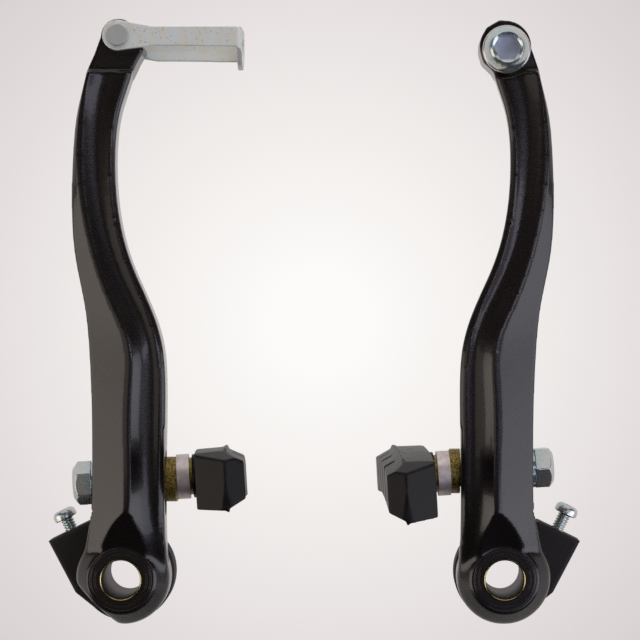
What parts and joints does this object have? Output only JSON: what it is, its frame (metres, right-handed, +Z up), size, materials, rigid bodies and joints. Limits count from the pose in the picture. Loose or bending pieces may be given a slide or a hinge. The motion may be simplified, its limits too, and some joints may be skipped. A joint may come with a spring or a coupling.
{
  "type": "v-brake",
  "caption": "Pair of linear-pull bicycle brake arms with shoes, spherical washers, spring casings, a noodle link and a cable anchor bolt.",
  "frame": {"origin": "midway between the two fork boss axes, on the plane where the brake stands on the bosses", "axes": "+X across the fork to the arm with the cable anchor, +Y back into the bosses, +Z up the arms"},
  "size_m": [0.1136, 0.0616, 0.1272],
  "materials": {
    "gloss_paint": "gloss black paint on a casting",
    "matte_plastic": "matte",
    "brass": "satin",
    "spring_steel": "satin",
    "steel_pin": "satin",
    "zinc_steel": "bright zinc plate",
    "yellow_zinc": "yellow zinc plate",
    "rubber": "matte"
  },
  "bodies": {
    "fork_side": {"left_bush": "brass", "left_spring_casing": "matte_plastic", "left_casing_pin": "steel_pin", "left_return_spring": "spring_steel", "right_bush": "brass", "right_spring_casing": "matte_plastic", "right_casing_pin": "steel_pin", "right_return_spring": "spring_steel"},
    "left_brake_arm": {"left_arm": "gloss_paint", "link_rivet": "zinc_steel"},
    "right_brake_arm": {"right_arm": "gloss_paint"},
    "cable_link": {"noodle_link": "zinc_steel"},
    "cable_anchor": {"anchor_bolt": "zinc_steel", "anchor_washer": "zinc_steel"},
    "left_shoe_slide": {"left_inner_convex_washer": "yellow_zinc", "left_outer_convex_washer": "yellow_zinc"},
    "left_shoe_mount": {"left_inner_cup_washer": "zinc_steel", "left_outer_cup_washer": "zinc_steel", "left_inner_spacer": "yellow_zinc", "left_pad_nut": "zinc_steel"},
    "left_shoe": {"left_brake_pad": "rubber", "left_pad_stud": "zinc_steel"},
    "left_screw": {"left_tension_screw": "zinc_steel"},
    "right_shoe_slide": {"right_inner_convex_washer": "yellow_zinc", "right_outer_convex_washer": "yellow_zinc"},
    "right_shoe_mount": {"right_inner_cup_washer": "zinc_steel", "right_outer_cup_washer": "zinc_steel", "right_inner_spacer": "yellow_zinc", "right_pad_nut": "zinc_steel"},
    "right_shoe": {"right_brake_pad": "rubber", "right_pad_stud": "zinc_steel"},
    "right_screw": {"right_tension_screw": "zinc_steel"}
  },
  "joints": [
    {"name": "left_arm_turn", "type": "hinge", "parent": "fork_side", "child": "left_brake_arm", "pos_m": [-0.04, 0, 0], "axis": [0, 1, 0], "range_deg": [0, 12], "stiffness_Nm_per_rad": 0.8, "springref_deg": -28.65},
    {"name": "left_shoe_height", "type": "slide", "parent": "left_brake_arm", "child": "left_shoe_slide", "axis": [0, 0, 1], "range_m": [-0.0036, 0.0019]},
    {"name": "left_shoe_toe", "type": "hinge", "parent": "left_shoe_slide", "child": "left_shoe_mount", "pos_m": [-0.03545, -0.0124, 0.0206], "axis": [0, 0, 1], "range_deg": [-6.2, 0.4]},
    {"name": "left_shoe_turn", "type": "hinge", "parent": "left_shoe_mount", "child": "left_shoe", "pos_m": [-0.03545, -0.0124, 0.0206], "axis": [0.9966, 0.0557, 0.061], "range_deg": [-30, 30]},
    {"name": "left_screw_travel", "type": "slide", "parent": "fork_side", "child": "left_screw", "axis": [-0.4384, 0, 0.8988], "range_m": [0, 0.002]},
    {"name": "right_arm_turn", "type": "hinge", "parent": "fork_side", "child": "right_brake_arm", "pos_m": [0.04, 0, 0], "axis": [0, -1, 0], "range_deg": [0, 12], "stiffness_Nm_per_rad": 0.8, "springref_deg": -28.65},
    {"name": "right_shoe_height", "type": "slide", "parent": "right_brake_arm", "child": "right_shoe_slide", "axis": [0, 0, 1], "range_m": [-0.0053, 0.0002]},
    {"name": "right_shoe_toe", "type": "hinge", "parent": "right_shoe_slide", "child": "right_shoe_mount", "pos_m": [0.03545, -0.0124, 0.0223], "axis": [0, 0, 1], "range_deg": [-5.1, 0.9]},
    {"name": "right_shoe_turn", "type": "hinge", "parent": "right_shoe_mount", "child": "right_shoe", "pos_m": [0.03545, -0.0124, 0.0223], "axis": [-0.9978, -0.0366, -0.0558], "range_deg": [-30, 30]},
    {"name": "right_screw_travel", "type": "slide", "parent": "fork_side", "child": "right_screw", "axis": [0.4384, 0, 0.8988], "range_m": [-0.001, 0.002]},
    {"name": "link_turn", "type": "hinge", "parent": "left_brake_arm", "child": "cable_link", "pos_m": [-0.04065, 0, 0.1134], "axis": [0, -1, 0], "range_deg": [-30, 60]},
    {"name": "anchor_travel", "type": "slide", "parent": "right_brake_arm", "child": "cable_anchor", "axis": [0, -1, 0], "range_m": [0, 0.002]}
  ]
}
